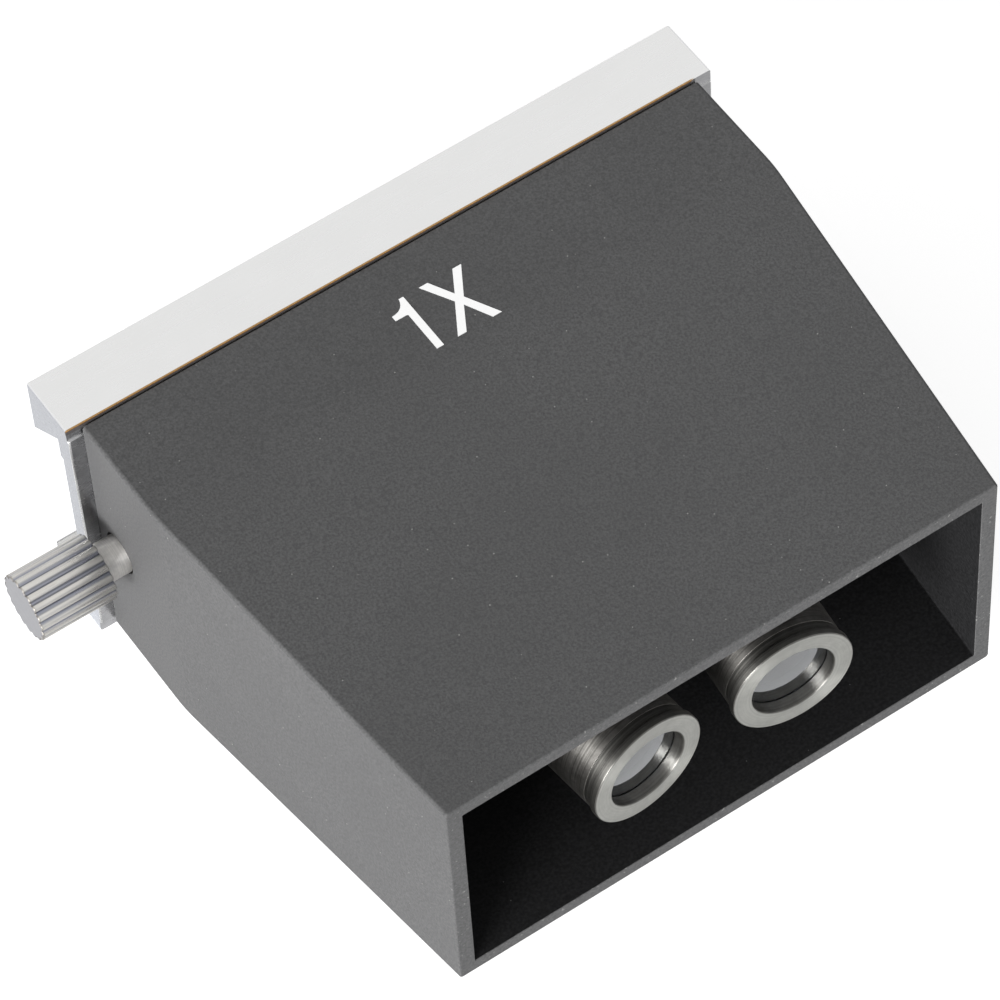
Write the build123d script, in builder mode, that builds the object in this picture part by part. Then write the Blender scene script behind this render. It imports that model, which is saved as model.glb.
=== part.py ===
from build123d import *
import os
from math import cos, radians, sin, sqrt, tan

os.makedirs("parts", exist_ok=True)

# Paired 1X objective unit of a stereo microscope: two converging lens barrels in a
# tapered hood, carried by a female dovetail slide with a knurled clamp screw.
#
# Frame, in millimetres: X runs along the slide and the clamp screw's head is at -X.
# Y = 0 is the plane of the dovetail's lands, +Y points out of the groove and the hood
# opens towards -Y. Z = 0 is mid-height, +Z is the side that carries the power mark.

# ---- hood ----
hood_height = 28.0
hood_length = 46.0
hood_straight = 10.8
side_taper = 3.8
top_taper = 1.7
side_wall = 1.5
top_wall = 1.35
hood_corner = 0.5
rim_break = 0.15
boss_width = 4.4
boss_height = 3.2
boss_depth = 7.0

# ---- slide plate and its dovetail groove ----
slide_overhang = 1.4
rail_step = 0.25
web = 2.1
groove_depth = 4.2
groove_mouth = 16.2
dovetail_angle = 55.0
land_width = 2.0
relief_depth = 0.55
shadow_gap = 0.2
shadow_gap_height = 1.3
plate_break = 0.2
light_window_radius = 3.5

# ---- optics ----
barrel_spacing = 14.1
convergence = 6.0
face_setback = 0.9
nose_radius = 5.5
nose_length = 1.6
nose_break = 0.3
aperture_radius = 3.75
seat_depth = 1.2
barrel_radius = 5.3
barrel_wall = 0.45
barrel_bore_radius = 3.45
barrel_back_gap = 3.0
lens_front_curve = 20.0
lens_edge = 4.4
stop_radius = 2.8
stop_ring_radius = 4.3
stop_ring_length = 2.0
fit_gap = 0.02

# ---- objective block ----
block_side_wall = 2.0
block_top_gap = 1.15
block_depth = 15.0
block_corner = 1.5
block_break = 0.8
dowel_radius = 1.0
dowel_length = 5.0
dowel_offset = 6.0

# ---- fasteners ----
small_screw_radius = 0.8
small_head_radius = 1.55
block_screw_radius = 1.0
block_head_radius = 1.9
head_gap = 0.05
head_sink = 0.1
block_screw_inset = 0.4
set_screw_sink = 1.2
set_screw_inset = 5.7

# ---- clamp ----
head_radius = 3.03
head_length = 7.1
head_chamfer = 0.25
flute_count = 19
flute_radius = 0.26
head_clearance = 2.1
neck_radius = 1.75
neck_hole_radius = 1.95
neck_end_gap = 1.2
screw_offset = 3.15
screw_pitch = 0.5
screw_turns = 2.0
thread_radius = 1.5
tip_radius = 1.1
tip_length = 0.9
thread_gap = 0.04
bush_radius = 2.5
clamp_room = 9.19
bracket_gap = 0.3
bracket_front_wall = 2.3
bracket_end_wall = 0.8
bracket_height = 9.2
bracket_floor = 2.2
channel_depth = 5.1
ear_length = 4.2
ear_height = 16.8
ear_thickness = 2.6
wedge_width = 4.0
wedge_height = 3.8
wedge_slope = 0.5
wedge_gap = 0.03
wedge_stop_gap = 0.4
shoe_length = 3.6
shoe_inset = 0.7
shoe_sink = 0.1
shoe_break = 0.2


def sag(curve, radius):
    """Depth of a spherical surface at a distance from its axis."""
    return curve - sqrt(curve**2 - radius**2)


# ---- worked out from the sizes above ----
seat_y = -web
rim_y = seat_y - hood_length
face_y = rim_y + face_setback
tilt_x = sin(radians(convergence))
tilt_y = cos(radians(convergence))
window_x = barrel_spacing / 2 - face_y * tan(radians(convergence))
block_width = 2 * (window_x + barrel_radius + block_side_wall)
block_height = hood_height - 2 * (top_wall + block_top_gap)
inner_half = block_width / 2 + clamp_room
hood_width = 2 * (inner_half + side_wall)
hood_front_width = hood_width - 2 * side_taper
hood_front_height = hood_height - 2 * top_taper
slide_length = hood_width + 2 * slide_overhang
slide_height = hood_height + 2 * rail_step
mouth_half = groove_mouth / 2
root_half = mouth_half + groove_depth / tan(radians(dovetail_angle))
land_inner = root_half - land_width
lens_radius = barrel_radius - barrel_wall
recess_radius = lens_radius + fit_gap
lens_edge_sag = sag(lens_front_curve, lens_radius)
lens_start = seat_depth + lens_edge_sag - sag(lens_front_curve, aperture_radius) + fit_gap
lens_end = lens_start + lens_edge + fit_gap
barrel_length = (seat_y - barrel_back_gap - face_y) / tilt_y
block_front_y = seat_y - block_depth
block_front = (block_front_y - face_y) / tilt_y
set_screw_place = block_front + set_screw_inset
set_screw_top = block_height / 2 - set_screw_sink
set_screw_length = set_screw_top - barrel_radius - fit_gap
screw_y = seat_y - screw_offset
screw_travel = screw_pitch * screw_turns
bracket_x0 = -inner_half + bracket_gap
bracket_x1 = -block_width / 2 - bracket_gap
channel_x0 = bracket_x0 + bracket_front_wall
channel_x1 = bracket_x1 - bracket_end_wall
wedge_x0 = channel_x0 + wedge_stop_gap
wedge_x1 = channel_x1 - screw_travel - 2 * head_gap
channel_half = wedge_width / 2 + head_gap
channel_y = seat_y - channel_depth
wedge_y0 = channel_y + wedge_gap
shoe_x0 = wedge_x0 + shoe_inset
shoe_x1 = shoe_x0 + shoe_length
shoe_half = wedge_width / 2 - head_gap
boss_x = inner_half - boss_width / 2
screw_row_z = bracket_height / 2 + bracket_gap + boss_height / 2
block_screw_x = block_width / 2 - block_head_radius - block_screw_inset
block_screw_z = mouth_half - block_head_radius
ear_screw_x = bracket_x1 - ear_length / 2
screw_face_y = -relief_depth - head_sink

groove_floor = Plane(origin=(0, -relief_depth, 0), x_dir=(1, 0, 0), z_dir=(0, 1, 0))
seat = Plane.XZ.offset(-seat_y)
hood_screw_spots = [(x, z) for x in (-boss_x, boss_x) for z in (-screw_row_z, screw_row_z)]
ear_screw_spots = [(ear_screw_x, -screw_row_z), (ear_screw_x, screw_row_z)]
block_screw_spots = [(-block_screw_x, -block_screw_z), (block_screw_x, block_screw_z)]
dowel_spots = [(0, -dowel_offset), (0, dowel_offset)]


def save(part, name):
    """Label one finished piece and write its STEP file."""
    part.label = name
    export_step(part, f"parts/{name}.step")


def barrel_start(side):
    """Centre of the front ring face of the barrel on one side, -1 left or +1 right."""
    return Vector(side * barrel_spacing / 2, face_y, 0)


def barrel_direction(side):
    """Direction of a barrel's optical axis, from its front face towards the slide."""
    return Vector(side * tilt_x, tilt_y, 0)


def turning_plane(side):
    """Plane through a barrel's axis: local x runs back along it, local y is the radius."""
    along = barrel_direction(side)
    return Plane(origin=barrel_start(side), x_dir=along, z_dir=along.cross(Vector(0, 0, 1)))


def cross_plane(side, distance):
    """Plane across a barrel at a distance behind its front face, facing the slide."""
    along = barrel_direction(side)
    return Plane(origin=barrel_start(side) + along * distance, x_dir=(0, 0, 1), z_dir=along)


def turned(side, outline):
    """Add a body turned about a barrel's axis, from an outline of (along, radius) points."""
    with BuildSketch(turning_plane(side)) as profile:
        with BuildLine():
            Polyline(*outline, close=True)
        make_face()
    revolve(profile.sketch, axis=Axis(barrel_start(side), barrel_direction(side)))


def flat_points(spots):
    """Turn (x, z) spots into local points of the groove floor plane, whose y runs down."""
    return [(x, -z) for x, z in spots]


def set_screw_spot(side):
    """Point on a barrel's axis that its set screw points at."""
    return barrel_start(side) + barrel_direction(side) * set_screw_place


def hood_section(distance, width, height, corner):
    """Outline across the hood, at a distance in front of the slide plate."""
    with BuildSketch(seat.offset(distance)) as section:
        if corner > 0:
            RectangleRounded(width, height, corner)
        else:
            Rectangle(width, height)
    return section.sketch


def countersunk_screws(spots, radius, head, length):
    """Group of countersunk screws whose heads lie just under the groove floor."""
    plane = Plane.XZ.offset(-screw_face_y)
    cone = head - head_gap - radius
    with BuildPart() as screws:
        with BuildSketch(plane):
            with Locations(*spots):
                Circle(head - head_gap)
        extrude(amount=cone, taper=45)
        with BuildSketch(plane):
            with Locations(*spots):
                Circle(radius - head_gap)
        extrude(amount=length)
    return screws


# ---- slide plate: web, two undercut rails, lands and a relieved floor ----
with BuildPart() as slide_plate:
    with BuildSketch(Plane.YZ.offset(-slide_length / 2)):
        with BuildLine():
            Polyline(
                (seat_y, 0),
                (seat_y, slide_height / 2 - shadow_gap_height),
                (seat_y + shadow_gap, slide_height / 2 - shadow_gap_height),
                (seat_y + shadow_gap, slide_height / 2),
                (groove_depth, slide_height / 2),
                (groove_depth, mouth_half),
                (0, root_half),
                (0, land_inner),
                (-relief_depth, land_inner),
                (-relief_depth, 0),
            )
            mirror(about=Plane.XZ)
        make_face()
    extrude(amount=slide_length)
    chamfer(slide_plate.edges().group_by(Axis.Y)[-1], length=plate_break)
    with Locations(groove_floor):
        with Locations(*flat_points(hood_screw_spots + ear_screw_spots)):
            CounterSinkHole(small_screw_radius, small_head_radius + head_sink, counter_sink_angle=90)
        with Locations(*flat_points(block_screw_spots)):
            CounterSinkHole(block_screw_radius, block_head_radius + head_sink, counter_sink_angle=90)
        with Locations(*flat_points(dowel_spots)):
            Hole(dowel_radius + fit_gap)
        with Locations((-window_x, 0), (window_x, 0)):
            Hole(light_window_radius)
    with BuildSketch(seat):
        with Locations(((shoe_x0 + shoe_x1) / 2, 0)):
            Rectangle(shoe_length + 2 * head_gap, 2 * (shoe_half + head_gap))
    extrude(amount=-web, mode=Mode.SUBTRACT)
save(slide_plate.part, "slide_plate")

# ---- hood: straight at the slide, then tapered on all four sides ----
with BuildPart() as hood:
    outside = [
        hood_section(0, hood_width, hood_height, hood_corner),
        hood_section(hood_straight, hood_width, hood_height, hood_corner),
        hood_section(hood_length - rim_break, hood_front_width, hood_front_height, hood_corner),
        hood_section(hood_length, hood_front_width - 2 * rim_break, hood_front_height - 2 * rim_break,
                     hood_corner - rim_break),
    ]
    loft(outside, ruled=True)
    inner_width = hood_width - 2 * side_wall
    inner_height = hood_height - 2 * top_wall
    inside = [
        hood_section(0, inner_width, inner_height, 0),
        hood_section(hood_straight, inner_width, inner_height, 0),
        hood_section(hood_length, hood_front_width - 2 * side_wall, hood_front_height - 2 * top_wall, 0),
    ]
    loft(inside, ruled=True, mode=Mode.SUBTRACT)
    with BuildSketch(seat):
        with Locations(*hood_screw_spots):
            Rectangle(boss_width, boss_height)
    extrude(amount=boss_depth)
    with BuildSketch(seat):
        with Locations(*hood_screw_spots):
            Circle(small_screw_radius)
    extrude(amount=boss_depth - top_wall, mode=Mode.SUBTRACT)
    with BuildSketch(Plane.YZ.offset(-hood_width / 2)):
        with Locations((screw_y, 0)):
            Circle(neck_hole_radius)
    extrude(amount=2 * side_wall, mode=Mode.SUBTRACT)
save(hood.part, "hood")

# ---- objective block: holds both barrels at their convergence angle ----
with BuildPart() as objective_block:
    with BuildSketch(seat):
        RectangleRounded(block_width, block_height, block_corner)
    extrude(amount=block_depth)
    chamfer(objective_block.edges().group_by(Axis.Y)[0], length=block_break)
    for side in (-1, 1):
        with Locations(cross_plane(side, 0)):
            Cylinder(
                barrel_radius + fit_gap,
                hood_length,
                align=(Align.CENTER, Align.CENTER, Align.MIN),
                mode=Mode.SUBTRACT,
            )
        with Locations((set_screw_spot(side).X, set_screw_spot(side).Y, block_height / 2)):
            Hole(block_screw_radius, depth=block_height / 2 - barrel_radius + head_gap)
    with BuildSketch(seat):
        with Locations(*block_screw_spots):
            Circle(block_screw_radius)
        with Locations(*dowel_spots):
            Circle(dowel_radius + fit_gap)
    extrude(amount=dowel_length, mode=Mode.SUBTRACT)
save(objective_block.part, "objective_block")

# ---- barrels and what each one holds ----
for side, word in ((-1, "left"), (1, "right")):
    with BuildPart() as barrel:
        turned(
            side,
            [
                (nose_length, recess_radius),
                (nose_length, barrel_radius),
                (barrel_length, barrel_radius),
                (barrel_length, stop_ring_radius + fit_gap),
                (barrel_length - stop_ring_length, stop_ring_radius + fit_gap),
                (barrel_length - stop_ring_length, barrel_bore_radius),
                (lens_end, barrel_bore_radius),
                (lens_end, recess_radius),
            ],
        )
    save(barrel.part, f"{word}_barrel")

    with BuildPart() as nose_ring:
        turned(
            side,
            [
                (0, aperture_radius),
                (0, nose_radius - nose_break),
                (nose_break, nose_radius),
                (nose_length, nose_radius),
                (nose_length, recess_radius),
                (seat_depth, recess_radius),
                (seat_depth, aperture_radius),
            ],
        )
    save(nose_ring.part, f"{word}_nose_ring")

    with BuildPart() as stop_ring:
        turned(
            side,
            [
                (barrel_length - stop_ring_length, stop_radius),
                (barrel_length - stop_ring_length, stop_ring_radius),
                (barrel_length, stop_ring_radius),
                (barrel_length, stop_radius),
            ],
        )
    save(stop_ring.part, f"{word}_stop_ring")

    with BuildPart() as lens:
        with BuildSketch(turning_plane(side)):
            with BuildLine():
                vertex = lens_start - lens_edge_sag
                front = ThreePointArc(
                    (vertex, 0),
                    (vertex + sag(lens_front_curve, lens_radius / 2), lens_radius / 2),
                    (lens_start, lens_radius),
                )
                Polyline(
                    front @ 1,
                    (lens_start + lens_edge, lens_radius),
                    (lens_start + lens_edge, 0),
                    front @ 0,
                )
            make_face()
        revolve(axis=Axis(barrel_start(side), barrel_direction(side)))
    save(lens.part, f"{word}_lens")

# ---- set screws that lock the barrels in the block ----
with BuildPart() as barrel_set_screws:
    with BuildSketch(Plane.XY.offset(set_screw_top)):
        for side in (-1, 1):
            with Locations((set_screw_spot(side).X, set_screw_spot(side).Y)):
                Circle(block_screw_radius - head_gap)
    extrude(amount=-set_screw_length)
save(barrel_set_screws.part, "barrel_set_screws")

# ---- screws and dowels through the web ----
hood_screws = countersunk_screws(
    hood_screw_spots, small_screw_radius, small_head_radius, web + boss_depth - 2 * top_wall
)
save(hood_screws.part, "hood_screws")
bracket_screws = countersunk_screws(
    ear_screw_spots, small_screw_radius, small_head_radius, web + ear_thickness - relief_depth - 2 * head_sink
)
save(bracket_screws.part, "bracket_screws")
block_screws = countersunk_screws(
    block_screw_spots,
    block_screw_radius,
    block_head_radius,
    web + dowel_length - relief_depth - 2 * head_sink,
)
save(block_screws.part, "block_screws")

with BuildPart() as block_dowels:
    with BuildSketch(Plane.XZ.offset(-screw_face_y)):
        with Locations(*dowel_spots):
            Circle(dowel_radius)
    extrude(amount=web + dowel_length - relief_depth - 2 * head_sink)
save(block_dowels.part, "block_dowels")

# ---- clamp bracket: guides the wedge behind the web ----
with BuildPart() as clamp_bracket:
    bracket_length = bracket_x1 - bracket_x0
    with BuildSketch(seat):
        with Locations(((bracket_x0 + bracket_x1) / 2, 0)):
            Rectangle(bracket_length, bracket_height)
    extrude(amount=channel_depth + bracket_floor)
    with BuildSketch(seat):
        with Locations((ear_screw_x, 0)):
            Rectangle(ear_length, ear_height)
    extrude(amount=ear_thickness)
    with BuildSketch(seat):
        with Locations(((channel_x0 + channel_x1) / 2, 0)):
            Rectangle(channel_x1 - channel_x0, 2 * channel_half)
    extrude(amount=channel_depth, mode=Mode.SUBTRACT)
    with BuildSketch(Plane.YZ.offset(bracket_x0)):
        with Locations((screw_y, 0)):
            Circle(bush_radius + fit_gap)
    extrude(amount=bracket_front_wall, mode=Mode.SUBTRACT)
    with BuildSketch(seat):
        with Locations(*ear_screw_spots):
            Circle(small_screw_radius)
    extrude(amount=ear_thickness, mode=Mode.SUBTRACT)
save(clamp_bracket.part, "clamp_bracket")

with BuildPart() as clamp_bush:
    with BuildSketch(Plane.YZ.offset(bracket_x0)):
        with Locations((screw_y, 0)):
            Circle(bush_radius)
            Circle(thread_radius, mode=Mode.SUBTRACT)
    extrude(amount=bracket_front_wall)
save(clamp_bush.part, "clamp_bush")

# ---- clamp screw: fluted head, smooth neck, threaded end and plain tip ----
head_x1 = -hood_width / 2 - head_clearance
head_x0 = head_x1 - head_length
neck_x1 = bracket_x0 - neck_end_gap
tip_x1 = wedge_x0 - fit_gap
with BuildPart() as clamp_screw:
    with BuildSketch(Plane.XY):
        with BuildLine():
            Polyline(
                (head_x0, screw_y),
                (head_x0, screw_y + head_radius - head_chamfer),
                (head_x0 + head_chamfer, screw_y + head_radius),
                (head_x1 - head_chamfer, screw_y + head_radius),
                (head_x1, screw_y + head_radius - head_chamfer),
                (head_x1, screw_y + neck_radius),
                (neck_x1, screw_y + neck_radius),
                (neck_x1, screw_y + thread_radius - thread_gap),
                (tip_x1 - tip_length, screw_y + thread_radius - thread_gap),
                (tip_x1 - tip_length, screw_y + tip_radius),
                (tip_x1, screw_y + tip_radius),
                (tip_x1, screw_y),
                close=True,
            )
        make_face()
    revolve(axis=Axis((0, screw_y, 0), (1, 0, 0)))
    with BuildSketch(Plane.YZ.offset(head_x0)):
        with Locations((screw_y, 0)):
            with PolarLocations(head_radius, flute_count):
                Circle(flute_radius)
    extrude(amount=head_length, mode=Mode.SUBTRACT)
save(clamp_screw.part, "clamp_screw")

# ---- wedge and lock shoe: the ramp turns the screw's push through a right angle ----
wedge_top = wedge_y0 + wedge_height
with BuildPart() as clamp_wedge:
    with BuildSketch(Plane.XY.offset(-wedge_width / 2)):
        with BuildLine():
            Polyline(
                (wedge_x0, wedge_y0),
                (wedge_x1, wedge_y0),
                (wedge_x1, wedge_top - wedge_slope * (wedge_x1 - wedge_x0)),
                (wedge_x0, wedge_top),
                close=True,
            )
        make_face()
    extrude(amount=wedge_width)
save(clamp_wedge.part, "clamp_wedge")

with BuildPart() as lock_shoe:
    with BuildSketch(Plane.XY.offset(-shoe_half)):
        with BuildLine():
            Polyline(
                (shoe_x0, wedge_top + wedge_gap - wedge_slope * (shoe_x0 - wedge_x0)),
                (shoe_x1, wedge_top + wedge_gap - wedge_slope * (shoe_x1 - wedge_x0)),
                (shoe_x1, -shoe_sink),
                (shoe_x0, -shoe_sink),
                close=True,
            )
        make_face()
    extrude(amount=2 * shoe_half)
    chamfer(lock_shoe.edges().group_by(Axis.Y)[-1], length=shoe_break)
save(lock_shoe.part, "lock_shoe")
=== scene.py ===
"""Looks of the paired 1X objective unit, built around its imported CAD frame."""

import math

import bmesh
import bpy
from mathutils import Matrix, Vector


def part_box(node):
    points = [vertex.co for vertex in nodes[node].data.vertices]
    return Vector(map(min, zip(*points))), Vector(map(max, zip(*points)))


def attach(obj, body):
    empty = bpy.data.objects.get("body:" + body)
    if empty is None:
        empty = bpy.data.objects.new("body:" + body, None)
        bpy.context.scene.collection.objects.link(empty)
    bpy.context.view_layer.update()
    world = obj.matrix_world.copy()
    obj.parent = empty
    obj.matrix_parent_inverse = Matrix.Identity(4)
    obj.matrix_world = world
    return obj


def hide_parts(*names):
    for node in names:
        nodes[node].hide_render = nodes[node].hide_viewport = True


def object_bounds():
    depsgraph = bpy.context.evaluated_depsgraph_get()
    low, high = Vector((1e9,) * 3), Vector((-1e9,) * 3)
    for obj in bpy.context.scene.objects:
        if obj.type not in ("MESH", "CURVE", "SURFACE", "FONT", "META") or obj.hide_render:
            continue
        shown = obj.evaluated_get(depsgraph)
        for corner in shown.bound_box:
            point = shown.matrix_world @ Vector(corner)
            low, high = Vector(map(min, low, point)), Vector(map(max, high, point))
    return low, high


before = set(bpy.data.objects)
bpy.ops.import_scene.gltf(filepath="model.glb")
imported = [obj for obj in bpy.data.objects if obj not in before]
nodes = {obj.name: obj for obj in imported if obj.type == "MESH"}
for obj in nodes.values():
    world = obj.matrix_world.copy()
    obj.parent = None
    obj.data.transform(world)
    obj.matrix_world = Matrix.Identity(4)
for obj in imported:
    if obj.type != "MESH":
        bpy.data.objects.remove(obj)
cad_low, cad_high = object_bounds()

MM = 0.001
X, Y, Z = Vector((1, 0, 0)), Vector((0, 1, 0)), Vector((0, 0, 1))

# ---- sizes in millimetres, from the frame's boxes and the CAD model's own values ----
HOOD_LOW, HOOD_HIGH = (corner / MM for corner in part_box("hood"))
PLATE_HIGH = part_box("slide_plate")[1] / MM
SCREW_LOW, SCREW_HIGH = (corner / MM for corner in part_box("clamp_screw"))
BUSH_LOW, BUSH_HIGH = (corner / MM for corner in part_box("clamp_bush"))
NECK_Y = (BUSH_LOW.y + BUSH_HIGH.y) / 2
SEAT_Y = HOOD_HIGH.y

HOOD_LENGTH = HOOD_HIGH.y - HOOD_LOW.y
HOOD_STRAIGHT = 10.8
SIDE_TAPER = 3.8
TOP_TAPER = 1.7
SIDE_WALL = 1.5
TOP_WALL = 1.35
HOOD_CORNER = 0.32
INNER_CORNER = 0.12
RIM_ROUND = 0.15
INNER_ROUND = 0.08
SEAT_ROUND = 0.06
SEAT_SIDE_ROUND = 0.16
KINK = 1.2  # half of the stretch over which the walls begin to taper
KINK_SUPPORT = 0.4  # distance of the loops that keep the walls flat beyond it
BOSS = (4.4, 7.0, 3.2)  # width, depth and height
BOSS_Z = 6.5
NECK_HOLE_RADIUS = 1.95

# the step between the rail's outer face and the hood
RABBET_DEPTH = 0.3
RABBET_HEIGHT = 1.5

BARREL_SPACING = 14.1
CONVERGENCE = math.radians(6.0)
FACE_SETBACK = 0.9
NOSE_RADIUS = 5.5
NOSE_LENGTH = 1.6
NOSE_FLANGE = 0.75
APERTURE_RADIUS = 3.75
SEAT_DEPTH = 1.2
BARREL_RADIUS = 5.3
BORE_RADIUS = 3.45
LENS_RADIUS = 4.85
LENS_CURVE = 20.0
LENS_EDGE = 4.4
LENS_STEPS = 14
FIT_GAP = 0.02
FACING_GAP = 0.03  # the fine line between ring and barrel
BARREL_BACK_GAP = 3.0
STOP_RING_RADIUS = 4.3
STOP_RING_LENGTH = 2.0

HEAD_RADIUS = 3.03
HEAD_LENGTH = 7.1
HEAD_ROUND = 0.12
FLUTES = 19
FLUTE_SHARE = 0.25  # half of a hollow's width, in pitches
FLUTE_DEPTH = 0.28
RIDGE_CROWN = 0.07
FLUTE_STEPS = 20
SCREW_SEGMENTS = FLUTES * FLUTE_STEPS
NECK_START = SCREW_LOW.x + HEAD_LENGTH
NECK_RADIUS = 1.75
NECK_CHAMFER = 0.15
THREAD_RUN_OUT = 1.2  # how far outside the bush the thread begins
THREAD_RADIUS = 1.46
THREAD_DEPTH = 0.28
THREAD_PITCH = 0.5
THREAD_CREST = 0.35  # place of a turn's first crest, in pitches
THREAD_FLANK = 0.2
TIP_RADIUS = 1.1
TIP_LENGTH = 0.9
TIP_CHAMFER = 0.1

SCREW_FACE_Y = -0.65
SCREW_EDGE = ((0, 0.12), (0.04, 0.05), (0.08, 0.06))  # depth below the face, and how far in from the head's radius
SOCKET_DEPTH = 0.75
SOCKET_CHAMFER = 0.06
SCREW_TIP_CHAMFER = 0.2
FASTENER_SEGMENTS = 48
HOOD_SCREWS = [(x, z) for x in (-26.3, 26.3) for z in (-6.5, 6.5)]
EAR_SCREWS = [(-21.71, z) for z in (-6.5, 6.5)]
BLOCK_SCREWS = [(-17.01, -6.2), (17.01, 6.2)]
DOWEL_RADIUS = 1.0
DOWEL_SPOTS = (-6.0, 6.0)
BUSH_BORE_RADIUS = 1.5
SMALL_ROUND = 0.12

MARK_LIFT = 0.015
MARK_TOP, MARK_BOTTOM = -6.33, -12.25  # towards the slide, and towards the rim

# ---- how finely round pieces are drawn, and which CAD edges are rounded ----
TURN_SEGMENTS = 144
BUSH_SEGMENTS = 96
DRILL_SEGMENTS = 72
SMOOTH_ANGLE = math.radians(32)
FLAT_ANGLE = math.radians(0.6)
SHARP_DEGREES = 50
MERGE_DISTANCE = 0.002
SHORTEST_ROUNDED = 0.7
FINE_WIDTH = 0.11

# ---- camera: far away with a long lens, looking down on the marked face ----
CAMERA_AIM = Vector((-2.0, -19.0, 0.0)) * MM
CAMERA_DISTANCE = 449.0 * MM
CAMERA_AZIMUTH = math.radians(-30.86)
CAMERA_ELEVATION = math.radians(55.06)
CAMERA_ROLL = math.radians(-4.12)
LENS_MM = 198.4

# ---- light: a soft room, one distant lamp and a pale floor ----
AMBIENT = 0.36
ROOM_STOPS = ((0.0, (0.62, 0.63, 0.68)), (0.65, (1, 1, 1)))
KEY_STRENGTH = 5.2
KEY_ANGLE = math.radians(31)
KEY_DIRECTION = Vector((-0.86, -0.46, 0.21))
FLOOR_SIZE = 4.0
FLOOR_COLOR = (0.85, 0.85, 0.85)
FLOOR_SEEN = 0.72
FLOOR_MIRRORED = 0.36

# Sockets of Blender's Mix node that carry colours.
MIX_INPUTS = (6, 7)
MIX_RESULT = 2


def new_object(name, data):
    """Object in the scene that shows the given data."""
    made = bpy.data.objects.new(name, data)
    bpy.context.scene.collection.objects.link(made)
    return made


def make_camera():
    """Camera at the photograph's viewing angle, with no shift and no depth of field."""
    data = bpy.data.cameras.new("camera")
    data.lens = LENS_MM
    data.clip_start, data.clip_end = 0.01, 10.0
    camera = new_object("camera", data)
    back = Vector((
        math.sin(CAMERA_AZIMUTH) * math.cos(CAMERA_ELEVATION),
        -math.cos(CAMERA_AZIMUTH) * math.cos(CAMERA_ELEVATION),
        math.sin(CAMERA_ELEVATION),
    ))
    aim = (-back).to_track_quat("-Z", "Y").to_matrix().to_4x4()
    roll = Matrix.Rotation(CAMERA_ROLL, 4, "Z")
    camera.matrix_world = Matrix.Translation(CAMERA_AIM + back * CAMERA_DISTANCE) @ aim @ roll
    bpy.context.scene.camera = camera


# ---- node helpers ----
class Nodes:
    """A node tree, with short ways to add to it."""

    def __init__(self, owner, clear=False):
        owner.use_nodes = True
        self.tree = owner.node_tree
        if clear:
            self.tree.nodes.clear()

    def node(self, kind, **settings):
        made = self.tree.nodes.new(kind)
        for setting, value in settings.items():
            setattr(made, setting, value)
        return made

    def link(self, source, target):
        self.tree.links.new(source, target)

    def math(self, operation, *values):
        made = self.node("ShaderNodeMath", operation=operation)
        for socket, value in zip(made.inputs, values):
            if isinstance(value, (int, float)):
                socket.default_value = value
            else:
                self.link(value, socket)
        return made.outputs["Value"]

    def split(self, vector):
        """The X, Y and Z outputs of a vector."""
        made = self.node("ShaderNodeSeparateXYZ")
        self.link(vector, made.inputs["Vector"])
        return made.outputs


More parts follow.
